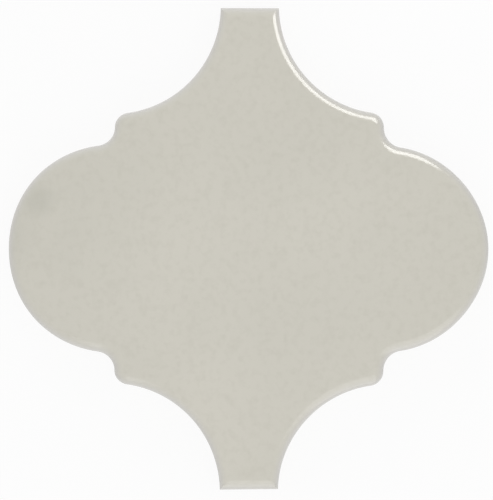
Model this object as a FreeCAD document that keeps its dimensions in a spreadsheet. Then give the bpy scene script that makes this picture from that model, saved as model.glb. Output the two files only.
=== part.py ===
"""Arabesque wall tile: one pressed, glazed and fired piece. Millimetres, +Z up.

The tile lies on its back. The origin is the centre of the back, +X runs through the two round lobes and
+Y through the two flat tips.

The outline is drawn for laying. Tiles stand in columns, tip to tip, and each column is shifted by half a
tile. A hollow beside a tip is the next tile's lobe set back by the joint, and the notch beside a knob is
the next tile's knob set back by the joint. All arcs meet tangentially.
"""

import os
from math import atan2, ceil, sqrt

import FreeCAD, Part
import Sketcher
from FreeCAD import Vector

SIZES = (
    ("Height", 120.0, "tip to tip"),
    ("Width", 119.5, "lobe to lobe"),
    ("TipWidth", 14.5, "flat end of each tip"),
    ("Joint", 1.2, "joint between laid tiles that the outline is drawn for"),
    ("KnobRadius", 3.65, "small convex arc between hollow and notch"),
    ("Thickness", 9.0, "back to glazed face"),
    ("EdgeRound", 2.0, "rounded edge of the glazed face"),
    ("BackArris", 0.5, "broken edge of the back"),
    ("RimWidth", 5.0, "flat rim around the keyed back"),
    ("KeyDepth", 0.8, "depth of the recesses in the back"),
    ("RibWidth", 2.0, "flat ribs between the recesses"),
    ("RibPitch", 14.0, "rib to rib, both ways"),
)

START, END, CENTRE = range(1, 4)
X_AXIS, Y_AXIS = -1, -2
LEVEL_WITHIN = 1e-6


def make_sheet(doc):
    """The driving dimensions, one named cell each."""
    sheet = doc.addObject("Spreadsheet::Sheet", "Sizes")
    for row, (alias, value, meaning) in enumerate(SIZES, start=1):
        sheet.set(f"A{row}", alias)
        sheet.set(f"B{row}", str(value))
        sheet.set(f"C{row}", meaning)
        sheet.setAlias(f"B{row}", alias)
    doc.recompute()
    return sheet


def origin_plane(body, role):
    for feature in body.Origin.OriginFeatures:
        if feature.Role == role:
            return feature
    raise RuntimeError(f"{body.Label} has no {role}")


def new_sketch(body, name):
    sketch = body.newObject("Sketcher::SketchObject", name)
    sketch.AttachmentSupport = [(origin_plane(body, "XY_Plane"), "")]
    sketch.MapMode = "FlatFace"
    return sketch


def dimension(sketch, name, kind, *where, value, formula):
    """Adds a named driving dimension and ties it to the sheet."""
    index = sketch.addConstraint(Sketcher.Constraint(kind, *where, value))
    sketch.renameConstraint(index, name)
    sketch.setExpression(f"Constraints.{name}", formula)


class Outline:
    """Arcs of the upper right quarter, from the lobe's crest to the tip, by the laying rule."""

    def __init__(self, sheet):
        run = (sheet.Width - sheet.TipWidth) / 4
        rise = (sheet.Height + sheet.Joint) / 4
        middle = (sheet.Width + sheet.TipWidth) / 4
        self.hollow_radius = (run ** 2 + rise ** 2) / (2 * run) - sheet.KnobRadius
        self.lobe_radius = self.hollow_radius - sheet.Joint
        self.knob_radius = sheet.KnobRadius
        self.notch_radius = sheet.KnobRadius + sheet.Joint
        self.hollow = Vector(sheet.TipWidth / 2 + self.hollow_radius, 2 * rise)
        self.knob = Vector(middle - self.knob_radius, rise)
        self.notch = Vector(middle + self.notch_radius, rise)
        self.lobe = Vector(sheet.Width / 2 - self.lobe_radius, 0)

        self.crest = Vector(sheet.Width / 2, 0)
        self.lobe_end = self.lobe + (self.notch - self.lobe).normalize() * self.lobe_radius
        self.notch_end = Vector(middle, rise)
        self.knob_end = self.knob + (self.hollow - self.knob).normalize() * self.knob_radius
        level = self.hollow.y - sheet.Height / 2
        self.tip = Vector(self.hollow.x - sqrt(self.hollow_radius ** 2 - level ** 2), sheet.Height / 2)


def mirrored(point, side_x, side_y):
    return Vector(side_x * point.x, side_y * point.y)


def add_arc(sketch, centre, radius, first, last, anticlockwise):
    """Adds an arc and returns its index and which of its ends lie at first and last."""
    begin, stop = (first, last) if anticlockwise else (last, first)
    angles = [atan2(point.y - centre.y, point.x - centre.x) for point in (begin, stop)]
    index = sketch.addGeometry(Part.ArcOfCircle(Part.Circle(centre, Vector(0, 0, 1), radius), *angles))
    return (index, START, END) if anticlockwise else (index, END, START)


def draw_quarter(sketch, form, side_x, side_y):
    """The lobe's half, the notch, the knob and the hollow, each tangent to the next."""
    arcs = (
        ("lobe", form.lobe, form.lobe_radius, form.crest, form.lobe_end, True),
        ("notch", form.notch, form.notch_radius, form.lobe_end, form.notch_end, False),
        ("knob", form.knob, form.knob_radius, form.notch_end, form.knob_end, True),
        ("hollow", form.hollow, form.hollow_radius, form.knob_end, form.tip, False),
    )
    quarter = {}
    for name, centre, radius, first, last, bulges_out in arcs:
        points = [mirrored(point, side_x, side_y) for point in (centre, first, last)]
        anticlockwise = bulges_out == (side_x * side_y > 0)
        quarter[name] = add_arc(sketch, points[0], radius, points[1], points[2], anticlockwise)
    for name, following in (("lobe", "notch"), ("notch", "knob"), ("knob", "hollow")):
        join(sketch, "Tangent", quarter[name][0], quarter[name][2], quarter[following][0], quarter[following][1])
    return quarter


def join(sketch, kind, *where):
    sketch.addConstraint(Sketcher.Constraint(kind, *where))


def draw_outline(sketch, sheet):
    """Four quarters and two flat tips. One quarter carries the sizes and the others repeat it."""
    form = Outline(sheet)
    upper_right, upper_left, lower_left, lower_right = (
        draw_quarter(sketch, form, *sides) for sides in ((1, 1), (-1, 1), (-1, -1), (1, -1)))

    for name, side, right, left in (("tip_top", 1, upper_right, upper_left),
                                    ("tip_bottom", -1, lower_right, lower_left)):
        ends = [mirrored(form.tip, side_x, side) for side_x in (1, -1)]
        tip = sketch.addGeometry(Part.LineSegment(*ends))
        join(sketch, "Coincident", tip, START, right["hollow"][0], right["hollow"][2])
        join(sketch, "Coincident", tip, END, left["hollow"][0], left["hollow"][2])
        join(sketch, "Horizontal", tip)
        span = (X_AXIS, START, tip, START) if side > 0 else (tip, START, X_AXIS, START)
        dimension(sketch, name, "DistanceY", *span, value=sheet.Height / 2, formula="Sizes.Height / 2")

    lobe, notch, knob, hollow = (upper_right[name][0] for name in ("lobe", "notch", "knob", "hollow"))
    run, rise = "(Sizes.Width - Sizes.TipWidth) / 4", "(Sizes.Height + Sizes.Joint) / 4"
    hollow_radius = f"(({run})^2 + ({rise})^2) / (2 * {run}) - Sizes.KnobRadius"
    lobe_radius = f"{hollow_radius} - Sizes.Joint"
    dimension(sketch, "hollow_radius", "Radius", hollow, value=form.hollow_radius, formula=hollow_radius)
    dimension(sketch, "lobe_radius", "Radius", lobe, value=form.lobe_radius, formula=lobe_radius)
    for name, arc, axis, value, formula in (
            ("hollow_x", hollow, "X", form.hollow.x, f"Sizes.TipWidth / 2 + {hollow_radius}"),
            ("hollow_y", hollow, "Y", form.hollow.y, f"2 * {rise}"),
            ("knob_x", knob, "X", form.knob.x, "(Sizes.Width + Sizes.TipWidth) / 4 - Sizes.KnobRadius"),
            ("knob_y", knob, "Y", form.knob.y, rise),
            ("lobe_x", lobe, "X", form.lobe.x, f"Sizes.Width / 2 - ({lobe_radius})")):
        dimension(sketch, name, f"Distance{axis}", X_AXIS, START, arc, CENTRE, value=value, formula=formula)
    join(sketch, "PointOnObject", lobe, CENTRE, X_AXIS)
    join(sketch, "Horizontal", knob, CENTRE, notch, CENTRE)

    for source, copy, axis in ((upper_right, upper_left, Y_AXIS), (upper_right, lower_right, X_AXIS),
                               (upper_left, lower_left, X_AXIS)):
        for name in ("hollow", "knob"):
            join(sketch, "Symmetric", source[name][0], CENTRE, copy[name][0], CENTRE, axis)
        for name in ("hollow", "lobe"):
            join(sketch, "Equal", source[name][0], copy[name][0])
        join(sketch, "Horizontal", copy["knob"][0], CENTRE, copy["notch"][0], CENTRE)
    join(sketch, "Symmetric", lobe, CENTRE, upper_left["lobe"][0], CENTRE, Y_AXIS)
    for upper, lower in ((upper_right, lower_right), (upper_left, lower_left)):
        join(sketch, "Tangent", upper["lobe"][0], upper["lobe"][1], lower["lobe"][0], lower["lobe"][1])
        join(sketch, "PointOnObject", upper["lobe"][0], upper["lobe"][1], X_AXIS)


def edges_at(shape, height):
    """Names of the edges that lie level at this height."""
    found = []
    for number, edge in enumerate(shape.Edges, start=1):
        box = edge.BoundBox
        if abs(box.ZMin - height) < LEVEL_WITHIN and abs(box.ZMax - height) < LEVEL_WITHIN:
            found.append(f"Edge{number}")
    return found


def make_slab(doc, sheet):
    """The pressed body: the outline, the rounded edge of the face and the broken edge of the back."""
    body = doc.addObject("PartDesign::Body", "Slab")
    outline = new_sketch(body, "SlabOutline")
    draw_outline(outline, sheet)
    pad = body.newObject("PartDesign::Pad", "Pressing")
    pad.Profile = outline
    pad.Refine = False
    pad.setExpression("Length", "Sizes.Thickness")
    doc.recompute()

    face_edge = body.newObject("PartDesign::Fillet", "FaceEdge")
    face_edge.Base = (pad, edges_at(pad.Shape, sheet.Thickness))
    face_edge.Refine = False
    face_edge.setExpression("Radius", "Sizes.EdgeRound")
    doc.recompute()

    back_edge = body.newObject("PartDesign::Chamfer", "BackEdge")
    back_edge.Base = (face_edge, edges_at(face_edge.Shape, 0))
    back_edge.Refine = False
    back_edge.setExpression("Size", "Sizes.BackArris")
    doc.recompute()
    return body, outline


def make_key_field(doc, outline):
    """The area that the recesses fill: the outline set in by the rim, as deep as they are."""
    boundary = doc.addObject("Part::Offset2D", "FieldBoundary")
    boundary.Source = outline
    boundary.Join = "Arc"
    boundary.setExpression("Value", "-Sizes.RimWidth")
    field = doc.addObject("Part::Extrusion", "KeyField")
    field.Base = boundary
    field.DirMode = "Custom"
    field.Dir = Vector(0, 0, 1)
    field.Solid = True
    field.setExpression("LengthFwd", "Sizes.KeyDepth")
    return field


def draw_cell(sketch, side, first):
    """A square whose near corner is at first, both ways."""
    corners = [Vector(first + x * side, first + y * side) for x, y in ((0, 0), (1, 0), (1, 1), (0, 1))]
    for corner, following in zip(corners, corners[1:] + corners[:1]):
        sketch.addGeometry(Part.LineSegment(corner, following))
    for edge in range(4):
        sketch.addConstraint(Sketcher.Constraint("Coincident", edge, END, (edge + 1) % 4, START))
    for edge, kind in enumerate(("Horizontal", "Vertical", "Horizontal", "Vertical")):
        sketch.addConstraint(Sketcher.Constraint(kind, edge))
    sketch.addConstraint(Sketcher.Constraint("Equal", 0, 1))


def make_cells(doc, sheet):
    """Square recesses in rows both ways, with ribs left between them and one rib along each axis."""
    each_side = ceil(max(sheet.Width, sheet.Height) / 2 / sheet.RibPitch)
    first = sheet.RibWidth / 2 - each_side * sheet.RibPitch
    cells = doc.addObject("PartDesign::Body", "KeyCells")
    cells.AllowCompound = True
    sketch = new_sketch(cells, "CellOutline")
    draw_cell(sketch, sheet.RibPitch - sheet.RibWidth, first)
    dimension(sketch, "side", "DistanceX", 0, START, 0, END, value=sheet.RibPitch - sheet.RibWidth,
              formula="Sizes.RibPitch - Sizes.RibWidth")
    corner = f"{each_side} * Sizes.RibPitch - Sizes.RibWidth / 2"
    dimension(sketch, "corner_x", "DistanceX", 0, START, X_AXIS, START, value=-first, formula=corner)
    dimension(sketch, "corner_y", "DistanceY", 0, START, X_AXIS, START, value=-first, formula=corner)
    cell = cells.newObject("PartDesign::Pad", "Cell")
    cell.Profile = sketch
    cell.setExpression("Length", "Sizes.KeyDepth")
    doc.recompute()

    rows = cells.newObject("PartDesign::LinearPattern", "CellRows")
    rows.Originals = [cell]
    rows.Direction = (sketch, ["H_Axis"])
    rows.Direction2 = (sketch, ["V_Axis"])
    count = 2 * each_side
    rows.Occurrences = count
    rows.Occurrences2 = count
    rows.setExpression("Length", f"{count - 1} * Sizes.RibPitch")
    rows.setExpression("Length2", f"{count - 1} * Sizes.RibPitch")
    cells.Tip = rows
    doc.recompute()
    return cells


def make_tile(doc, slab, field, cells):
    """The slab with the recesses taken out of its back."""
    recesses = doc.addObject("Part::Common", "Recesses")
    recesses.Base = field
    recesses.Tool = cells
    tile = doc.addObject("Part::Cut", "Tile")
    tile.Base = slab
    tile.Tool = recesses
    tile.Label = "tile"
    doc.recompute()
    return tile


def check(doc, pieces):
    """Stops if anything failed to rebuild, or if a piece isn't one sound solid."""
    failed = [item.Name for item in doc.Objects if {"Invalid", "Error"} & set(item.State)]
    if failed:
        raise RuntimeError(f"failed to rebuild: {', '.join(failed)}")
    for piece in pieces:
        if piece.Shape.isNull() or not piece.Shape.isValid() or len(piece.Shape.Solids) != 1:
            raise RuntimeError(f"{piece.Label} isn't one sound solid")


def main():
    os.makedirs("parts", exist_ok=True)
    doc = FreeCAD.newDocument("ArabesqueTile")
    sheet = make_sheet(doc)
    slab, outline = make_slab(doc, sheet)
    field = make_key_field(doc, outline)
    cells = make_cells(doc, sheet)
    tile = make_tile(doc, slab, field, cells)
    check(doc, [tile])
    tile.Shape.exportStep(f"parts/{tile.Label}.step")
    print(f"{tile.Label}: {tile.Shape.Volume / 1000:.2f} cubic cm, {len(tile.Shape.Faces)} faces")


main()
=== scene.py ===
"""Moroccan arabesque tile: the glazed wall tile's looks and its plain studio stage.

The outline follows the rule that such tiles are laid by. Each lobe fills the hollow between two neighbours
and each small knob fills a notch, across one even joint. So the hollow's radius is the lobe's plus the joint,
and the notch's is the knob's plus the joint. Lengths are metres.
"""

import math
from typing import NamedTuple

import bpy
from bpy.props import FloatProperty, FloatVectorProperty, IntProperty, PointerProperty
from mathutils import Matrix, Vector


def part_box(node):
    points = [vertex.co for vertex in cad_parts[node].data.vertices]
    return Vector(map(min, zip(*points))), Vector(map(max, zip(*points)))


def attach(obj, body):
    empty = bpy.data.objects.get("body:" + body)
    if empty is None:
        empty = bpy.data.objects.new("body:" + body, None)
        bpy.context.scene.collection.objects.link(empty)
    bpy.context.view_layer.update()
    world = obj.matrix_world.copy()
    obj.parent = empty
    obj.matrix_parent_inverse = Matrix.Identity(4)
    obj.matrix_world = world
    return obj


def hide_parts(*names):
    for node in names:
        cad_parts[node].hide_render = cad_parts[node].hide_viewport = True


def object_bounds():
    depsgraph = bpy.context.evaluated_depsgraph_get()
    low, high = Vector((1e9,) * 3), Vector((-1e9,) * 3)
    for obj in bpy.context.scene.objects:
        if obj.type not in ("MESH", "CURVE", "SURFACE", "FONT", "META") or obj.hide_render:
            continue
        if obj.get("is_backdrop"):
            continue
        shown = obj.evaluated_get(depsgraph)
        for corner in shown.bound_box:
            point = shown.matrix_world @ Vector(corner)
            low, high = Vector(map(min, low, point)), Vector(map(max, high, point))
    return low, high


bl_info = {
    "name": "Moroccan Arabesque Tile",
    "version": (1, 0, 0),
    "blender": (4, 5, 0),
    "location": "3D View > Sidebar > Tile",
    "description": "Press, glaze and light one arabesque wall tile",
    "category": "Object",
}

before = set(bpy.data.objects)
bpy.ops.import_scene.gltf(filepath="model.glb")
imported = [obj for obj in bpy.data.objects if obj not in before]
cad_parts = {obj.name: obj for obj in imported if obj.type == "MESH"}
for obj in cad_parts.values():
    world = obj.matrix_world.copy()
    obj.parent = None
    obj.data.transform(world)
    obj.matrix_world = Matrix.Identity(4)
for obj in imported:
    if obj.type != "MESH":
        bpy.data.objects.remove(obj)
CAD_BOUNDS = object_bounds()
TILE_LOW, TILE_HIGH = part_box("tile")
FACE_LEVEL = TILE_HIGH[2]
MM = 0.001

# The mesh: half the core's height, a side face's corners, a fillet's steps, what is welded and what is crisp
CORE_REACH = 24 * MM
SIDE_CORNERS = 4
FILLET_STEPS = 5
WELD = 0.001 * MM
SHARP_TURN = math.radians(35)

# The cushioned edge, in shares of its radius: how far in it is drawn out, and where the face is flat
EDGE_SPREAD = 1.25
SHOULDER = 1.5

# The glaze's lower end: half its height, how far its middle lies back, as a share of the glaze's thickness,
# and the distance from one wave of its line to the next
LIP = 0.25 * MM
BEAD = 0.3
GLAZE_LINE_RUN = 25 * MM

# The kiln: how far down the lower tip's slant begins, in half heights, and how far apart the face's waves are
SLANT_FROM = 0.75
FACE_WAVE_RUN = 32 * MM

# The patterns' sizes in glaze and clay. The real specks are too fine to show here, so they are drawn coarser.
CLOUD = 35 * MM
SPECK = 1.6 * MM
RIPPLE = 9 * MM
CLAY_GRAIN = 0.5 * MM

# The stage: brightnesses, where 1 is white, the share of the ground that glows, the gap under the tile and
# the camera's sensor, whose width is given in millimetres
WHITE = (1.0, 1.0, 1.0, 1.0)
CARD = (0.88, 0.88, 0.88, 1.0)
GROUND_WHITE = 0.99
GROUND_SHARE = 0.92
TENT_FOOT = 1.14
TENT_TOP = 0.56
FLOOR_GAP = 0.05 * MM
SENSOR_WIDTH = 36.0

# A Mix node's sockets go by number, because those for numbers, vectors and colours share their names
FACTOR, VECTOR_A, VECTOR_B, COLOUR_A, COLOUR_B = 0, 4, 5, 6, 7
VECTOR_RESULT, COLOUR_RESULT = 1, 2


class Pool(NamedTuple):
    """A round place where the glaze lies thicker, and darker."""

    centre: tuple
    reach: float
    strength: float


class Lamp(NamedTuple):
    """An oval softbox. The side it stands on and its angle from straight up are in degrees. It may be kept
    out of what the gloss mirrors, or off what is matt."""

    name: str
    side: float
    zenith: float
    width: float
    height: float
    brightness: float
    distance: float = 1.3
    target: tuple = (0.0, 0.0, FACE_LEVEL)
    in_gloss: bool = True
    on_matt: bool = True


POOLS = (
    Pool(centre=(-52.5 * MM, 12 * MM, FACE_LEVEL), reach=6 * MM, strength=0.75),
    Pool(centre=(-64 * MM, 4 * MM, FACE_LEVEL), reach=14 * MM, strength=0.7),
)
# The edge lamp is what the long highlight of the upper right edge mirrors. The hollow lamp lightens the edge
# of the hollow there.
LAMPS = (
    Lamp("key_softbox", side=-74, zenith=52, width=1.2, height=2.2, brightness=1.0),
    Lamp("fill_softbox", side=102, zenith=79, width=1.1, height=1.1, brightness=2.1, in_gloss=False),
    Lamp("edge_lamp", side=47, zenith=42, width=0.047, height=0.041, brightness=6.3,
         distance=0.0614, target=(0.024, 0.038, 0.008), on_matt=False),
    Lamp("hollow_lamp", side=60, zenith=84, width=0.05, height=0.02, brightness=0.8,
         distance=0.05, target=(0.020, 0.042, 0.008), in_gloss=False),
)


def linear(hex_colour):
    """An sRGB hex colour as linear red, green and blue."""
    channels = [int(hex_colour[place:place + 2], 16) / 255 for place in (1, 3, 5)]
    return tuple(c / 12.92 if c <= 0.04045 else ((c + 0.055) / 1.055) ** 2.4 for c in channels)


def length(name, description, default):
    """A size in metres."""
    return FloatProperty(name=name, description=description, default=default, unit="LENGTH", precision=5)


def colour(name, description, hex_colour):
    """A colour, written as sRGB hex."""
    default = linear(hex_colour)
    return FloatVectorProperty(name=name, description=description, default=default, subtype="COLOR")


class TileSizes(bpy.types.PropertyGroup):
    """The pressed tile's own sizes."""

    width: length("Width", "Across the two lobes", TILE_HIGH[0] - TILE_LOW[0])
    height: length("Height", "Between the two flat tips", TILE_HIGH[1] - TILE_LOW[1])
    thickness: length("Thickness", "From the back to the glazed face", TILE_HIGH[2] - TILE_LOW[2])
    tip_width: length("Tip width", "Width of each flat tip", 14.5 * MM)
    joint: length("Joint", "Gap to the neighbouring tiles", 1.2 * MM)
    knob_radius: length("Knob radius", "Radius of the small convex knobs", 3.65 * MM)
    edge_round: length("Edge round", "Radius of the cushioned face edge", 2.0 * MM)
    back_arris: length("Back arris", "Bevel round the back", 0.5 * MM)
    rim_width: length("Rim width", "Flat rim round the keyed back", 5.0 * MM)
    key_depth: length("Key depth", "Depth of the recesses in the back", 0.8 * MM)
    key_corner: length("Key corner", "Radius of a recess's corners", 1.0 * MM)
    key_draft: length("Key draft", "How far a recess's wall leans in over its depth", 0.15 * MM)
    rib_width: length("Rib width", "Width of the ribs between the recesses", 2.0 * MM)
    rib_pitch: length("Rib pitch", "Distance from one rib to the next", 14.0 * MM)
    spacing: length("Point spacing", "Distance between the outline's points", 0.85 * MM)
    edge_rings: IntProperty(name="Edge rings", description="Steps round the cushioned edge", default=16)
    face_rings: IntProperty(name="Face rings", description="Steps from the edge to the core", default=20)


class FiringSizes(bpy.types.PropertyGroup):
    """What the glaze and the kiln leave on the pressed tile."""

    glaze_thickness: length("Glaze thickness", "How far the glaze stands proud of the bare side", 0.12 * MM)
    glaze_line: length("Glaze line", "Mean height at which the glaze ends on the side", 3.2 * MM)
    glaze_line_wave: length("Glaze line wave", "How far the end of the glaze wanders", 0.8 * MM)
    face_wave: length("Face wave", "Height of the long waves in the fired face", 0.05 * MM)
    tip_drift: length("Tip drift", "How far the tips have moved sideways in the kiln", 0.2 * MM)
    lobe_pinch: length("Lobe pinch", "How much slimmer the right lobe is fired than the left", 0.5 * MM)
    tip_slant: length("Tip slant", "How much higher the lower tip's right end lies than its left", 0.2 * MM)
    seed: FloatProperty(name="Seed", description="Place of the waves in the noise", default=4.0)


class TileColours(bpy.types.PropertyGroup):
    """The colours of the glaze and of the bare clay, and the painted reflection on the glaze's edge."""

    glaze: colour("Glaze", "Warm light grey of the glaze", "#CCC9BE")
    glaze_pooled: colour("Pooled glaze", "Glaze where it lies thicker", "#BFBDB2")
    # Painted reflection: a greyer tint where the cushioned edge mirrors its surroundings.
    glaze_thin: colour("Painted edge reflection", "Painted reflection that turns the glaze greyer over the edge", "#C5C3BE")
    speck: colour("Speck", "Fine specks in the glaze", "#B5B2A5")
    biscuit: colour("Biscuit", "Bare fired clay", "#DCD3C4")
    biscuit_shade: colour("Biscuit shade", "Darker grains of the clay", "#C9BDAA")


class StageSizes(bpy.types.PropertyGroup):
    """The camera and the floor."""

    camera_height: length("Camera height", "Camera above the tile's outline", 2.0)
    view_height: length("View height", "What the picture's height spans at the outline", 124.55 * MM)
    view_x: length("View centre X", "Point of the tile at the picture's middle", -0.52 * MM)
    view_y: length("View centre Y", "Point of the tile at the picture's middle", -0.27 * MM)
    view_turn: FloatProperty(name="View turn", description="Turn of the camera about its own axis",
                             default=math.radians(0.12), unit="ROTATION")
    floor_size: length("Floor size", "Side of the square floor", 4.0)


def arc(centre, radius, start, end, steps):
    """Points of an arc about centre, without its last one, which the next stretch begins with."""
    turns = [start + (end - start) * step / steps for step in range(steps)]
    return [centre + radius * Vector((math.cos(turn), math.sin(turn))) for turn in turns]


def line(start, end, steps):
    """Points of a straight stretch, without its last one."""
    return [start.lerp(end, step / steps) for step in range(steps)]


def whole(quarter):
    """The closed line of an upper right quarter, whose ends lie on the two mirror lines."""
    points = []
    for x_side, y_side in ((1, 1), (-1, 1), (-1, -1), (1, -1)):
        turned = quarter if x_side == y_side else quarter[::-1]
        points += [Vector((point.x * x_side, point.y * y_side, 0.0)) for point in turned[:-1]]
    return points


def angle_of(vector):
    """The angle of a vector from +X, from 0 to a whole turn."""
    return math.atan2(vector.y, vector.x) % math.tau


class Rule:
    """Centres and radii of the arcs in the outline's upper right quarter, from the tile's sizes."""

    def __init__(self, sizes):
        run = (sizes.width - sizes.tip_width) / 4
        rise = (sizes.height + sizes.joint) / 4
        middle = (sizes.width + sizes.tip_width) / 4
        self.tip = sizes.height / 2
        self.knob_radius = sizes.knob_radius
        self.notch_radius = sizes.knob_radius + sizes.joint
        self.hollow_radius = (run ** 2 + rise ** 2) / (2 * run) - sizes.knob_radius
        self.lobe_radius = self.hollow_radius - sizes.joint
        self.lobe = Vector((sizes.width / 2 - self.lobe_radius, 0.0))
        self.notch = Vector((middle + self.notch_radius, rise))
        self.knob = Vector((middle - self.knob_radius, rise))
        self.hollow = Vector((sizes.tip_width / 2 + self.hollow_radius, 2 * rise))
        self.bend = angle_of(self.notch - self.lobe)
        side = (self.lobe_radius + self.notch_radius) * self.bend
        top = (self.knob_radius + self.hollow_radius) * self.bend + sizes.tip_width / 2
        self.core = Vector((CORE_REACH * side / top, CORE_REACH))
        self.lobe_steps = round(self.lobe_radius * self.bend / sizes.spacing)
        self.bend_steps = 2 * round(self.notch_radius * self.bend / sizes.spacing)
        self.hollow_steps = round(self.hollow_radius * self.bend / sizes.spacing)
        self.tip_steps = round(sizes.tip_width / 2 / sizes.spacing)
        self.side_steps = self.lobe_steps + self.bend_steps
        self.top_steps = self.bend_steps + self.hollow_steps + self.tip_steps

    def corner(self, inset):
        """Where the hollow's and the notch's arcs meet, inset so far that the knob is gone."""
        from_hollow = self.hollow_radius + inset
        from_notch = self.notch_radius + inset
        apart = self.notch - self.hollow
        along = (apart.length_squared + from_hollow ** 2 - from_notch ** 2) / (2 * apart.length)
        across = math.sqrt(from_hollow ** 2 - along ** 2)
        return self.hollow + along * apart.normalized() - across * apart.orthogonal().normalized()

    def outline(self, inset):
        """The outline, or the line that runs inset metres inside it, with the same number of points."""
        notch_end = math.pi
        hollow_start = math.pi + self.bend
        knob = arc(self.knob, self.knob_radius - inset, 0.0, self.bend, self.bend_steps)
        if inset >= self.knob_radius:
            notch_end = angle_of(self.corner(inset) - self.notch)
            hollow_start = angle_of(self.corner(inset) - self.hollow)
            knob = []
        from_hollow = self.hollow_radius + inset
        tip = self.tip - inset
        hollow_end = math.pi + math.asin((self.hollow.y - tip) / from_hollow)
        tip_corner = Vector((self.hollow.x + from_hollow * math.cos(hollow_end), tip))
        top = Vector((0.0, tip))
        quarter = arc(self.lobe, self.lobe_radius - inset, 0.0, self.bend, self.lobe_steps)
        quarter += arc(self.notch, self.notch_radius + inset, math.pi + self.bend, notch_end, self.bend_steps)
        quarter += knob
        quarter += arc(self.hollow, from_hollow, hollow_start, hollow_end, self.hollow_steps)
        quarter += line(tip_corner, top, self.tip_steps) + [top]
        return whole(quarter)

    def core_outline(self):
        """The rectangle in the middle of the face, with as many points as the outline has."""
        top = Vector((0.0, self.core.y))
        beside = line(Vector((self.core.x, 0.0)), self.core, self.side_steps)
        return whole(beside + line(self.core, top, self.top_steps) + [top])


def add_node(tree, kind, inputs=None, **settings):
    """Adds a node with its settings. An input is a value, a socket, or a node whose first output it takes."""
    node = tree.nodes.new(kind)
    for name, value in settings.items():
        setattr(node, name, value)
    for name, value in (inputs or {}).items():
        if isinstance(value, bpy.types.Node):
            value = value.outputs[0]
        if isinstance(value, bpy.types.NodeSocket):
            tree.links.new(value, node.inputs[name])
        else:
            node.inputs[name].default_value = value
    return node


def draw_tile(sizes, rule):
    """What the tile is pressed from: its outline and the field of its keyed back, each drawn as one face.
    Every point holds its place, the way the line moves there as it is inset, and its place on the core."""
    points = []
    outs = []
    for inset, reach in ((0.0, SHOULDER * sizes.edge_round), (sizes.rim_width, sizes.key_draft)):
        drawn = rule.outline(inset)
        points += drawn
        outs += [(point - inner) / reach for point, inner in zip(drawn, rule.outline(inset + reach))]
    core = rule.core_outline()
    rim = len(core)
    core += [Vector()] * (len(points) - rim)
    mesh = bpy.data.meshes.new("tile")
    mesh.from_pydata(points, [], [range(rim), range(rim, len(points))])
    for name, values in {"edge": points, "out": outs, "core": core}.items():
        attribute = mesh.attributes.new(name, "FLOAT_VECTOR", "POINT")
        for entry, value in zip(attribute.data, values):
            entry.vector = value
    is_field = mesh.attributes.new("field", "BOOLEAN", "FACE")
    is_field.data[1].value = True
    return mesh


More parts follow.
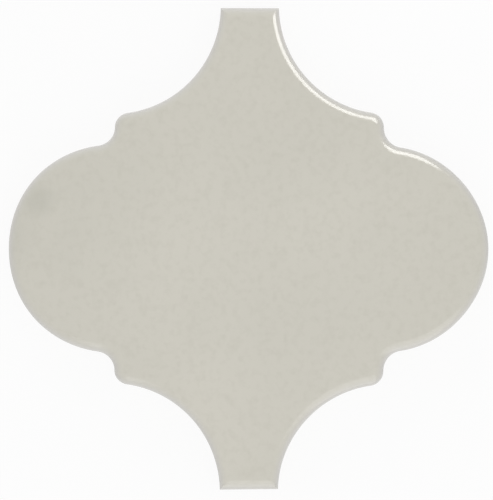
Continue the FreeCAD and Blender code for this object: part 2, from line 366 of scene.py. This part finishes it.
class TileTree:
    """The Geometry Nodes tree that presses, keys and fires the drawn tile."""

    LENGTHS = (
        "Thickness", "Half Width", "Half Height", "Tip Width", "Edge Round", "Back Arris", "Core X", "Core Y",
        "Key Depth", "Key Corner", "Key Draft", "Rib Width", "Rib Pitch",
        "Glaze Thickness", "Glaze Line", "Glaze Line Wave",
        "Face Wave", "Tip Drift", "Lobe Pinch", "Tip Slant",
    )
    COUNTS = ("Core Columns", "Core Rows", "Edge Rings", "Face Rings", "Key Rows")

    def __init__(self):
        self.tree = bpy.data.node_groups.new("Press and fire tile", "GeometryNodeTree")
        self.tree.is_modifier = True
        sockets = [("Geometry", "Geometry")]
        sockets += [(name, "Float") for name in self.LENGTHS]
        sockets += [(name, "Int") for name in self.COUNTS]
        sockets += [("Seed", "Float"), ("Glaze", "Material"), ("Biscuit", "Material")]
        for name, kind in sockets:
            self.tree.interface.new_socket(name, in_out="INPUT", socket_type=f"NodeSocket{kind}")
        self.tree.interface.new_socket("Geometry", in_out="OUTPUT", socket_type="NodeSocketGeometry")
        self.sizes = self.add("NodeGroupInput").outputs
        self.edge, self.out, self.core = [
            self.add("GeometryNodeInputNamedAttribute", {"Name": name}, data_type="FLOAT_VECTOR")
            for name in ("edge", "out", "core")]
        self.build()

    def add(self, kind, inputs=None, **settings):
        """Adds a node to the tree."""
        return add_node(self.tree, kind, inputs, **settings)

    def place(self, inset, level):
        """The point that lies inset metres inside the outline at that level."""
        inwards = self.add("ShaderNodeVectorMath", {0: self.out, "Scale": inset}, operation="SCALE")
        flat = self.add("ShaderNodeVectorMath", {0: self.edge, 1: inwards}, operation="SUBTRACT")
        rise = self.add("ShaderNodeCombineXYZ", {"Z": level})
        return self.add("ShaderNodeVectorMath", {0: flat, 1: rise}, operation="ADD")

    def is_top(self):
        """True for the top face, which alone has more corners than a side face."""
        corners = self.add("GeometryNodeInputMeshFaceNeighbors").outputs["Vertex Count"]
        return self.add("ShaderNodeMath", {0: corners, 1: SIDE_CORNERS + 0.5}, operation="GREATER_THAN")

    def ring(self, mesh, place):
        """Raises the top face by one ring of side faces and puts its rim in place."""
        raised = self.add("GeometryNodeExtrudeMesh", {
            "Mesh": mesh, "Selection": self.is_top(), "Offset Scale": 0.0, "Individual": False})
        inputs = {"Geometry": raised, "Selection": raised.outputs["Top"], "Position": place}
        return self.add("GeometryNodeSetPosition", inputs)

    def repeat(self, mesh, count, place_at):
        """Rings in a repeat zone. place_at gives a ring's place from the share of them that are made."""
        start = self.add("GeometryNodeRepeatInput")
        end = self.add("GeometryNodeRepeatOutput")
        start.pair_with_output(end)
        self.tree.links.new(mesh.outputs[0], start.inputs["Geometry"])
        self.tree.links.new(count, start.inputs["Iterations"])
        turn = self.add("ShaderNodeMath", {0: start.outputs["Iteration"], 1: 1.0}, operation="ADD")
        share = self.add("ShaderNodeMath", {0: turn, 1: count}, operation="DIVIDE")
        ring = self.ring(start.outputs["Geometry"], place_at(share))
        self.tree.links.new(ring.outputs[0], end.inputs["Geometry"])
        return end

    def wander(self, place, run):
        """What chance does to a place in the kiln, from 0 to 1. It changes softly over that distance."""
        inputs = {"Vector": place, "W": self.sizes["Seed"], "Scale": 1 / run, "Detail": 1.0}
        return self.add("ShaderNodeTexNoise", inputs, noise_dimensions="4D")

    def glaze_line(self, place):
        """Height at which the glaze ends on the side. It wanders as one goes round the tile."""
        chance = self.wander(place, GLAZE_LINE_RUN)
        wave = self.add("ShaderNodeMath", {0: chance, 1: 0.5}, operation="SUBTRACT")
        inputs = {0: wave, 1: self.sizes["Glaze Line Wave"], 2: self.sizes["Glaze Line"]}
        return self.add("ShaderNodeMath", inputs, operation="MULTIPLY_ADD")

    def side_top(self):
        """Height at which the upright side ends and the cushioned edge begins."""
        inputs = {0: self.sizes["Thickness"], 1: self.sizes["Edge Round"]}
        return self.add("ShaderNodeMath", inputs, operation="SUBTRACT")

    def cushion(self, share):
        """Round the face edge: from the side up to the face, drawn out inwards where the glaze has flowed."""
        sizes = self.sizes
        turn = self.add("ShaderNodeMath", {0: share, 1: math.pi / 2}, operation="MULTIPLY")
        cosine = self.add("ShaderNodeMath", {0: turn}, operation="COSINE")
        sine = self.add("ShaderNodeMath", {0: turn}, operation="SINE")
        inward = self.add("ShaderNodeMath", {0: 1.0, 1: cosine}, operation="SUBTRACT")
        below = self.add("ShaderNodeMath", {0: 1.0, 1: sine}, operation="SUBTRACT")
        drop = self.add("ShaderNodeMath", {0: below, 1: sizes["Edge Round"]}, operation="MULTIPLY")
        across = self.add("ShaderNodeMath", {0: sizes["Edge Round"], 1: EDGE_SPREAD}, operation="MULTIPLY")
        inset = self.add("ShaderNodeMath", {0: inward, 1: across}, operation="MULTIPLY")
        level = self.add("ShaderNodeMath", {0: sizes["Thickness"], 1: drop}, operation="SUBTRACT")
        return self.place(inset, level)

    def shoulder(self):
        """The last line that runs parallel to the outline, on the flat of the face."""
        inset = self.add("ShaderNodeMath", {0: self.sizes["Edge Round"], 1: SHOULDER}, operation="MULTIPLY")
        return self.place(inset, self.sizes["Thickness"])

    def towards_core(self, share):
        """Over the face, from the shoulder to the rectangle in its middle."""
        rise = self.add("ShaderNodeCombineXYZ", {"Z": self.sizes["Thickness"]})
        core = self.add("ShaderNodeVectorMath", {0: self.core, 1: rise}, operation="ADD")
        inputs = {FACTOR: share, VECTOR_A: self.shoulder(), VECTOR_B: core}
        return self.add("ShaderNodeMix", inputs, data_type="VECTOR").outputs[VECTOR_RESULT]

    def press(self, outline):
        """The closed body: back, bare side, glazed side, cushioned edge and face."""
        sizes = self.sizes
        glaze = sizes["Glaze Thickness"]
        bare = self.add("ShaderNodeMath", {0: sizes["Back Arris"], 1: glaze}, operation="ADD")
        back = self.add("GeometryNodeSetPosition", {"Geometry": outline, "Position": self.place(bare, 0.0)})
        line = self.glaze_line(self.edge)
        lip = self.add("ShaderNodeMath", {0: line, 1: LIP}, operation="ADD")
        under_lip = self.add("ShaderNodeMath", {0: line, 1: LIP}, operation="SUBTRACT")
        bead = self.add("ShaderNodeMath", {0: glaze, 1: BEAD}, operation="MULTIPLY")
        section = (
            (glaze, sizes["Back Arris"]),
            (glaze, under_lip),
            (bead, line),
            (0.0, lip),
            (0.0, self.side_top()),
        )
        body = back
        for inset, level in section:
            body = self.ring(body, self.place(inset, level))
        body = self.repeat(body, sizes["Edge Rings"], self.cushion)
        body = self.ring(body, self.shoulder())
        body = self.repeat(body, sizes["Face Rings"], self.towards_core)

        shell = self.add("GeometryNodeDeleteGeometry", {"Geometry": body, "Selection": self.is_top()},
                         domain="FACE", mode="ONLY_FACE")
        core = self.add("GeometryNodeMeshGrid", {
            "Size X": sizes["Core X"], "Size Y": sizes["Core Y"],
            "Vertices X": sizes["Core Columns"], "Vertices Y": sizes["Core Rows"]})
        rise = self.add("ShaderNodeCombineXYZ", {"Z": sizes["Thickness"]})
        core = self.add("GeometryNodeSetPosition", {"Geometry": core, "Offset": rise})
        under = self.add("GeometryNodeFlipFaces", {"Mesh": back})
        return self.closed((shell, core, under))

    def closed(self, parts):
        """Joins meshes that share their rims into one closed mesh."""
        joined = self.add("GeometryNodeJoinGeometry")
        for part in parts:
            self.tree.links.new(part.outputs[0], joined.inputs[0])
        return self.add("GeometryNodeMergeByDistance", {"Geometry": joined, "Distance": WELD})

    def block(self, face, raise_top):
        """A closed block from one flat face: raise_top lifts it, and a copy turned over closes it below."""
        under = self.add("GeometryNodeFlipFaces", {"Mesh": face})
        return self.closed((raise_top(face), under))

    def keys(self, field):
        """The recesses of the keyed back: squares between the ribs, as far as the field reaches."""
        sizes = self.sizes
        depth = sizes["Key Depth"]
        draft = sizes["Key Draft"]
        below = self.add("ShaderNodeMath", {0: depth, 1: -1.0}, operation="MULTIPLY")
        out = self.add("ShaderNodeMath", {0: draft, 1: -1.0}, operation="MULTIPLY")
        field = self.add("GeometryNodeSetPosition", {"Geometry": field, "Position": self.place(out, below)})
        field = self.block(field, lambda face: self.ring(face, self.place(draft, depth)))

        between = {0: sizes["Rib Pitch"], 1: sizes["Rib Width"]}
        cell = self.add("ShaderNodeMath", between, operation="SUBTRACT")
        foot = self.add("ShaderNodeMath", {0: draft, 1: 2.0, 2: cell}, operation="MULTIPLY_ADD")
        head = self.add("ShaderNodeMath", {0: draft, 1: -2.0, 2: cell}, operation="MULTIPLY_ADD")
        taper = self.add("ShaderNodeMath", {0: head, 1: foot}, operation="DIVIDE")
        square = self.add("GeometryNodeCurvePrimitiveQuadrilateral", {"Width": foot, "Height": foot})
        square = self.add("GeometryNodeFilletCurve", {
            "Curve": square, "Count": FILLET_STEPS, "Radius": sizes["Key Corner"]}, mode="POLY")
        square = self.add("GeometryNodeFillCurve", {"Curve": square}, mode="NGONS")
        sink = self.add("ShaderNodeCombineXYZ", {"Z": below})
        square = self.add("GeometryNodeSetPosition", {"Geometry": square, "Offset": sink})

        def raise_square(face):
            twice = self.add("ShaderNodeMath", {0: depth, 1: 2.0}, operation="MULTIPLY")
            rise = self.add("ShaderNodeCombineXYZ", {"Z": twice})
            raised = self.add("GeometryNodeExtrudeMesh", {"Mesh": face, "Offset": rise, "Individual": False})
            inputs = {"Geometry": raised, "Selection": raised.outputs["Top"], "Scale": taper}
            return self.add("GeometryNodeScaleElements", inputs)

        square = self.block(square, raise_square)
        rows = sizes["Key Rows"]
        gaps = self.add("ShaderNodeMath", {0: rows, 1: 1.0}, operation="SUBTRACT")
        span = self.add("ShaderNodeMath", {0: gaps, 1: sizes["Rib Pitch"]}, operation="MULTIPLY")
        points = self.add("GeometryNodeMeshGrid", {
            "Size X": span, "Size Y": span, "Vertices X": rows, "Vertices Y": rows})
        squares = self.add("GeometryNodeInstanceOnPoints", {"Points": points, "Instance": square})
        squares = self.add("GeometryNodeRealizeInstances", {"Geometry": squares})
        cells = self.add("GeometryNodeMeshBoolean", operation="INTERSECT", solver="MANIFOLD")
        for part in (field, squares):
            self.tree.links.new(part.outputs[0], cells.inputs["Mesh 2"])
        return cells

    def fire(self, mesh):
        """The kiln's small changes: drifted tips, a right lobe drawn in, a slanting tip and a waving face."""
        sizes = self.sizes
        position = self.add("GeometryNodeInputPosition")
        axes = self.add("ShaderNodeSeparateXYZ", {0: position}).outputs
        along = self.add("ShaderNodeMath", {0: axes["X"], 1: sizes["Half Width"]}, operation="DIVIDE")
        square = self.add("ShaderNodeMath", {0: along, 1: along}, operation="MULTIPLY")
        held = self.add("ShaderNodeMath", {0: 1.0, 1: square}, operation="SUBTRACT")
        drift = self.add("ShaderNodeMath", {0: held, 1: sizes["Tip Drift"]}, operation="MULTIPLY")

        up = self.add("ShaderNodeMath", {0: axes["Y"], 1: sizes["Half Height"]}, operation="DIVIDE")
        turn = self.add("ShaderNodeMath", {0: up, 1: math.tau}, operation="MULTIPLY")
        swing = self.add("ShaderNodeMath", {0: turn}, operation="SINE")
        lean = self.add("ShaderNodeMath", {0: along, 1: swing}, operation="MULTIPLY")
        pinch = self.add("ShaderNodeMath", {0: lean, 1: sizes["Lobe Pinch"]}, operation="MULTIPLY")

        right_end = self.add("ShaderNodeMath", {0: sizes["Tip Width"], 1: 0.5}, operation="MULTIPLY")
        left_end = self.add("ShaderNodeMath", {0: right_end, 1: -1.0}, operation="MULTIPLY")
        over_tip = self.add("ShaderNodeMapRange", {
            "Value": axes["X"], "From Min": left_end, "From Max": right_end})
        at_tip = self.add("ShaderNodeMapRange", {"Value": up, "From Min": -SLANT_FROM, "From Max": -1.0},
                          interpolation_type="SMOOTHSTEP")
        slant = self.add("ShaderNodeMath", {0: over_tip, 1: at_tip}, operation="MULTIPLY")
        slant = self.add("ShaderNodeMath", {0: slant, 1: sizes["Tip Slant"]}, operation="MULTIPLY")
        shift = self.add("ShaderNodeMath", {0: slant, 1: pinch}, operation="SUBTRACT")

        near_face = self.add("ShaderNodeMapRange", {
            "Value": axes["Z"], "From Min": self.side_top(), "From Max": sizes["Thickness"]})
        chance = self.wander(position, FACE_WAVE_RUN)
        wave = self.add("ShaderNodeMath", {0: chance, 1: near_face}, operation="MULTIPLY")
        wave = self.add("ShaderNodeMath", {0: wave, 1: sizes["Face Wave"]}, operation="MULTIPLY")
        wave = self.add("ShaderNodeMath", {0: wave, 1: -1.0}, operation="MULTIPLY")
        offset = self.add("ShaderNodeCombineXYZ", {"X": drift, "Y": shift, "Z": wave})
        return self.add("GeometryNodeSetPosition", {"Geometry": mesh, "Offset": offset})

    def finish(self, mesh):
        """Crisp edges where the surface turns sharply, then glaze above its line and bare biscuit below."""
        sizes = self.sizes
        smooth = self.add("GeometryNodeSetShadeSmooth", {"Geometry": mesh}, domain="FACE")
        turn = self.add("GeometryNodeInputMeshEdgeAngle")
        sharp = self.add("ShaderNodeMath", {0: turn, 1: SHARP_TURN}, operation="GREATER_THAN")
        inputs = {"Geometry": smooth, "Selection": sharp, "Shade Smooth": False}
        smooth = self.add("GeometryNodeSetShadeSmooth", inputs, domain="EDGE")
        realized = self.add("GeometryNodeRealizeInstances", {"Geometry": smooth})

        axes = self.add("ShaderNodeSeparateXYZ", {0: self.add("GeometryNodeInputPosition")}).outputs
        flat = self.add("ShaderNodeCombineXYZ", {"X": axes["X"], "Y": axes["Y"]})
        is_bare = self.add("ShaderNodeMath", {0: axes["Z"], 1: self.glaze_line(flat)}, operation="LESS_THAN")
        glazed = self.add("GeometryNodeSetMaterial", {"Geometry": realized, "Material": sizes["Glaze"]})
        inputs = {"Geometry": glazed, "Selection": is_bare, "Material": sizes["Biscuit"]}
        return self.add("GeometryNodeSetMaterial", inputs)

    def build(self):
        """Presses the body, takes the recesses out of its back, fires it and finishes its surface."""
        is_field = self.add("GeometryNodeInputNamedAttribute", {"Name": "field"}, data_type="BOOLEAN")
        inputs = {"Geometry": self.sizes["Geometry"], "Selection": is_field}
        drawing = self.add("GeometryNodeSeparateGeometry", inputs, domain="FACE")
        body = self.press(drawing.outputs["Inverted"])
        cells = self.keys(drawing.outputs["Selection"])
        keyed = self.add("GeometryNodeMeshBoolean", {"Mesh 1": body, "Mesh 2": cells},
                         operation="DIFFERENCE", solver="MANIFOLD")
        tile = self.fire(keyed)
        for name in ("edge", "out", "core", "field"):
            tile = self.add("GeometryNodeRemoveAttribute", {"Geometry": tile, "Name": name})
        self.add("NodeGroupOutput", {"Geometry": self.finish(tile)})


def glaze_material(colours):
    """Glossy tin glaze fired on stoneware: an opaque, warm light grey coat with faint clouds, fine specks and
    darker pools, and a painted reflection that greys it over the edge. Soft ripples bend what it mirrors."""
    material = bpy.data.materials.new("Glossy tin glaze fired on stoneware")
    material.use_nodes = True
    tree = material.node_tree
    tree.nodes.clear()
    place = add_node(tree, "ShaderNodeTexCoord").outputs["Object"]
    axes = add_node(tree, "ShaderNodeSeparateXYZ", {0: place}).outputs

    clouds = add_node(tree, "ShaderNodeTexNoise", {"Vector": place, "Scale": 1 / CLOUD, "Detail": 3.0})
    cloudy = add_node(tree, "ShaderNodeMapRange", {
        "Value": clouds, "From Min": 0.35, "From Max": 0.65, "To Max": 0.24})
    leftwards = add_node(tree, "ShaderNodeMapRange", {
        "Value": axes["X"], "From Min": -20 * MM, "From Max": -44 * MM, "To Max": 0.25})
    thick = add_node(tree, "ShaderNodeMath", {0: cloudy, 1: leftwards}, operation="ADD")
    for pool in POOLS:
        away = add_node(tree, "ShaderNodeVectorMath", {0: place, 1: pool.centre}, operation="DISTANCE")
        pooled = add_node(tree, "ShaderNodeMapRange", {
            "Value": away.outputs["Value"], "From Min": pool.reach, "From Max": 0.0, "To Max": pool.strength,
        }, interpolation_type="SMOOTHSTEP")
        thick = add_node(tree, "ShaderNodeMath", {0: thick, 1: pooled}, operation="ADD")
    tone = {FACTOR: thick, COLOUR_A: (*colours.glaze, 1.0), COLOUR_B: (*colours.glaze_pooled, 1.0)}
    coat = add_node(tree, "ShaderNodeMix", tone, data_type="RGBA", clamp_factor=True).outputs[COLOUR_RESULT]

    grains = add_node(tree, "ShaderNodeTexNoise", {"Vector": place, "Scale": 1 / SPECK, "Detail": 2.0})
    specks = add_node(tree, "ShaderNodeMapRange", {
        "Value": grains, "From Min": 0.45, "From Max": 0.8, "To Max": 0.26})
    tone = {FACTOR: specks, COLOUR_A: coat, COLOUR_B: (*colours.speck, 1.0)}
    coat = add_node(tree, "ShaderNodeMix", tone, data_type="RGBA").outputs[COLOUR_RESULT]
    # Painted reflection: the glaze turns greyer down the cushioned edge, where it mirrors the surroundings.
    reflection_share = add_node(tree, "ShaderNodeMapRange", {
        "Value": axes["Z"], "From Min": FACE_LEVEL - 0.08 * MM, "From Max": FACE_LEVEL - 0.9 * MM})
    tone = {FACTOR: reflection_share, COLOUR_A: coat, COLOUR_B: (*colours.glaze_thin, 1.0)}
    coat = add_node(tree, "ShaderNodeMix", tone, data_type="RGBA").outputs[COLOUR_RESULT]

    ripple = add_node(tree, "ShaderNodeTexNoise", {"Vector": place, "Scale": 1 / RIPPLE, "Detail": 0.0})
    bump = add_node(tree, "ShaderNodeBump", {"Height": ripple, "Strength": 0.08, "Distance": 0.03 * MM})
    gloss = add_node(tree, "ShaderNodeMapRange", {"Value": clouds, "To Min": 0.13, "To Max": 0.18})
    coated = add_node(tree, "ShaderNodeBsdfPrincipled", {
        "Base Color": coat, "Roughness": gloss, "IOR": 1.58, "Normal": bump})
    add_node(tree, "ShaderNodeOutputMaterial", {"Surface": coated})
    return material


def biscuit_material(colours):
    """Bare dry-pressed clay: matt, pale buff, with fine darker grains and a gritty surface."""
    material = bpy.data.materials.new("Dry-pressed stoneware biscuit")
    material.use_nodes = True
    tree = material.node_tree
    tree.nodes.clear()
    place = add_node(tree, "ShaderNodeTexCoord").outputs["Object"]
    grains = add_node(tree, "ShaderNodeTexNoise", {"Vector": place, "Scale": 1 / CLAY_GRAIN, "Detail": 3.0})
    shade = add_node(tree, "ShaderNodeMapRange", {"Value": grains, "From Min": 0.4, "From Max": 0.7})
    tone = {FACTOR: shade, COLOUR_A: (*colours.biscuit, 1.0), COLOUR_B: (*colours.biscuit_shade, 1.0)}
    clay = add_node(tree, "ShaderNodeMix", tone, data_type="RGBA").outputs[COLOUR_RESULT]
    bump = add_node(tree, "ShaderNodeBump", {"Height": grains, "Strength": 0.4, "Distance": 0.05 * MM})
    bare = add_node(tree, "ShaderNodeBsdfPrincipled", {
        "Base Color": clay, "Roughness": 0.88, "Specular IOR Level": 0.25, "Normal": bump})
    add_node(tree, "ShaderNodeOutputMaterial", {"Surface": bare})
    return material


def seen_white(tree):
    """1 for the rays that see a plain white ground: the camera's, and those that gloss and glass send on."""
    path = add_node(tree, "ShaderNodeLightPath").outputs
    seen = path["Is Camera Ray"]
    for kind in ("Is Glossy Ray", "Is Transmission Ray"):
        seen = add_node(tree, "ShaderNodeMath", {0: seen, 1: path[kind]}, operation="MAXIMUM")
    return seen


def floor_material():
    """Matt white card, lit through as far as it is seen, so the tile's shadow on it stays faint."""
    material = bpy.data.materials.new("Matt white card")
    material.use_nodes = True
    tree = material.node_tree
    tree.nodes.clear()
    card = add_node(tree, "ShaderNodeBsdfDiffuse", {"Color": CARD})
    glow = add_node(tree, "ShaderNodeEmission", {"Color": WHITE, "Strength": GROUND_WHITE})
    share = add_node(tree, "ShaderNodeMath", {0: seen_white(tree), 1: GROUND_SHARE}, operation="MULTIPLY")
    mix = add_node(tree, "ShaderNodeMixShader", {0: share, 1: card, 2: glow})
    add_node(tree, "ShaderNodeOutputMaterial", {"Surface": mix})
    return material


def world_light():
    """A white tent, brightest near the floor. What is seen of it, also in the gloss, is plain white."""
    world = bpy.data.worlds.new("White surround")
    world.use_nodes = True
    tree = world.node_tree
    tree.nodes.clear()
    upwards = add_node(tree, "ShaderNodeTexCoord").outputs["Generated"]
    rise = add_node(tree, "ShaderNodeSeparateXYZ", {0: upwards}).outputs["Z"]
    level = add_node(tree, "ShaderNodeMapRange", {"Value": rise, "To Min": TENT_FOOT, "To Max": TENT_TOP})
    around = add_node(tree, "ShaderNodeBackground", {"Color": WHITE, "Strength": level})
    white = add_node(tree, "ShaderNodeBackground", {"Color": WHITE, "Strength": GROUND_WHITE})
    mix = add_node(tree, "ShaderNodeMixShader", {0: seen_white(tree), 1: around, 2: white})
    add_node(tree, "ShaderNodeOutputWorld", {"Surface": mix})
    return world


def hang(lamp, collection):
    """Hangs a softbox so that it faces its target. Its power goes with its area, to keep its brightness."""
    side = math.radians(lamp.side)
    zenith = math.radians(lamp.zenith)
    light = bpy.data.lights.new(lamp.name, "AREA")
    light.shape = "ELLIPSE"
    light.size = lamp.width
    light.size_y = lamp.height
    area = math.pi / 4 * lamp.width * lamp.height
    light.energy = lamp.brightness * math.pi * area
    box = bpy.data.objects.new(lamp.name, light)
    ray = Vector((math.cos(side) * math.sin(zenith), math.sin(side) * math.sin(zenith), math.cos(zenith)))
    box.location = Vector(lamp.target) + lamp.distance * ray
    box.rotation_euler = ray.to_track_quat("Z", "Y").to_euler()
    box.visible_camera = False
    box.visible_diffuse = lamp.on_matt
    box.visible_glossy = lamp.in_gloss
    collection.objects.link(box)


def label(name):
    """The node input that takes the size of that name."""
    return name.replace("_", " ").title()


class OBJECT_OT_press_tile(bpy.types.Operator):
    """Press, key, fire and glaze the tile"""

    bl_idname = "object.press_arabesque_tile"
    bl_label = "Press Tile"
    bl_options = {"REGISTER", "UNDO"}

    def execute(self, context):
        sizes = context.scene.tile_sizes
        firing = context.scene.tile_firing
        colours = context.scene.tile_colours
        rule = Rule(sizes)
        half_field = max(sizes.width, sizes.height) / 2 - sizes.rim_width
        values = {label(name): getattr(sizes, name) for name in TileSizes.__annotations__}
        values |= {label(name): getattr(firing, name) for name in FiringSizes.__annotations__}
        values |= {
            "Half Width": sizes.width / 2,
            "Half Height": sizes.height / 2,
            "Core X": 2 * rule.core.x,
            "Core Y": 2 * rule.core.y,
            "Core Columns": 2 * rule.top_steps + 1,
            "Core Rows": 2 * rule.side_steps + 1,
            "Key Rows": 2 * math.ceil(half_field / sizes.rib_pitch),
            "Glaze": glaze_material(colours),
            "Biscuit": biscuit_material(colours),
        }
        drawn = bpy.data.objects.new("tile_drawing", draw_tile(sizes, rule))
        context.scene.collection.objects.link(drawn)
        press = drawn.modifiers.new("Press", "NODES")
        press.node_group = TileTree().tree
        for socket in press.node_group.interface.items_tree:
            if socket.in_out == "INPUT" and socket.name != "Geometry":
                press[socket.identifier] = values[socket.name]

        evaluated = drawn.evaluated_get(context.evaluated_depsgraph_get())
        mesh = bpy.data.meshes.new_from_object(evaluated)
        bpy.data.objects.remove(drawn)
        if not mesh.polygons:
            raise RuntimeError("The node tree gave no tile")
        tile = bpy.data.objects.new("glazed_tile", mesh)
        context.scene.collection.objects.link(tile)
        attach(tile, "root")
        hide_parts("tile")
        return {"FINISHED"}


class SCENE_OT_stage_tile(bpy.types.Operator):
    """Set the floor, the lamps and the camera"""

    bl_idname = "scene.stage_arabesque_tile"
    bl_label = "Stage Tile"
    bl_options = {"REGISTER", "UNDO"}

    def execute(self, context):
        scene = context.scene
        stage = scene.tile_stage
        half = stage.floor_size / 2
        corners = [(x * half, y * half, -FLOOR_GAP) for x, y in ((-1, -1), (1, -1), (1, 1), (-1, 1))]
        mesh = bpy.data.meshes.new("floor")
        mesh.from_pydata(corners, [], [(0, 1, 2, 3)])
        mesh.materials.append(floor_material())
        floor = bpy.data.objects.new("floor", mesh)
        scene.collection.objects.link(floor)
        floor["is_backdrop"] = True

        scene.world = world_light()
        for lamp in LAMPS:
            hang(lamp, scene.collection)

        lens = bpy.data.cameras.new("camera")
        camera = bpy.data.objects.new("camera", lens)
        scene.collection.objects.link(camera)
        outline_level = FACE_LEVEL - scene.tile_sizes.edge_round
        camera.location = (stage.view_x, stage.view_y, outline_level + stage.camera_height)
        camera.rotation_euler.z = stage.view_turn
        lens.sensor_width = SENSOR_WIDTH
        lens.lens = SENSOR_WIDTH * stage.camera_height / stage.view_height
        lens.clip_end = 10.0
        scene.camera = camera
        scene.view_settings.view_transform = "Standard"
        return {"FINISHED"}


class VIEW3D_PT_arabesque_tile(bpy.types.Panel):
    """The tile's sizes and its operators"""

    bl_idname = "VIEW3D_PT_arabesque_tile"
    bl_label = "Arabesque Tile"
    bl_space_type = "VIEW_3D"
    bl_region_type = "UI"
    bl_category = "Tile"

    def draw(self, context):
        for group, kind in GROUPS.items():
            box = self.layout.box()
            for name in kind.__annotations__:
                box.prop(getattr(context.scene, group), name)
        self.layout.operator(OBJECT_OT_press_tile.bl_idname)
        self.layout.operator(SCENE_OT_stage_tile.bl_idname)


GROUPS = {
    "tile_sizes": TileSizes,
    "tile_firing": FiringSizes,
    "tile_colours": TileColours,
    "tile_stage": StageSizes,
}
CLASSES = (*GROUPS.values(), OBJECT_OT_press_tile, SCENE_OT_stage_tile, VIEW3D_PT_arabesque_tile)


def register():
    for kind in CLASSES:
        bpy.utils.register_class(kind)
    for name, kind in GROUPS.items():
        setattr(bpy.types.Scene, name, PointerProperty(type=kind))


def unregister():
    for name in GROUPS:
        delattr(bpy.types.Scene, name)
    for kind in reversed(CLASSES):
        bpy.utils.unregister_class(kind)


def main():
    register()
    bpy.ops.object.press_arabesque_tile()
    bpy.ops.scene.stage_arabesque_tile()
    boxes = {"cad": CAD_BOUNDS, "visual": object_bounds()}
    boxes = {name: [list(corner) for corner in corners] for name, corners in boxes.items()}


if __name__ == "__main__":
    main()
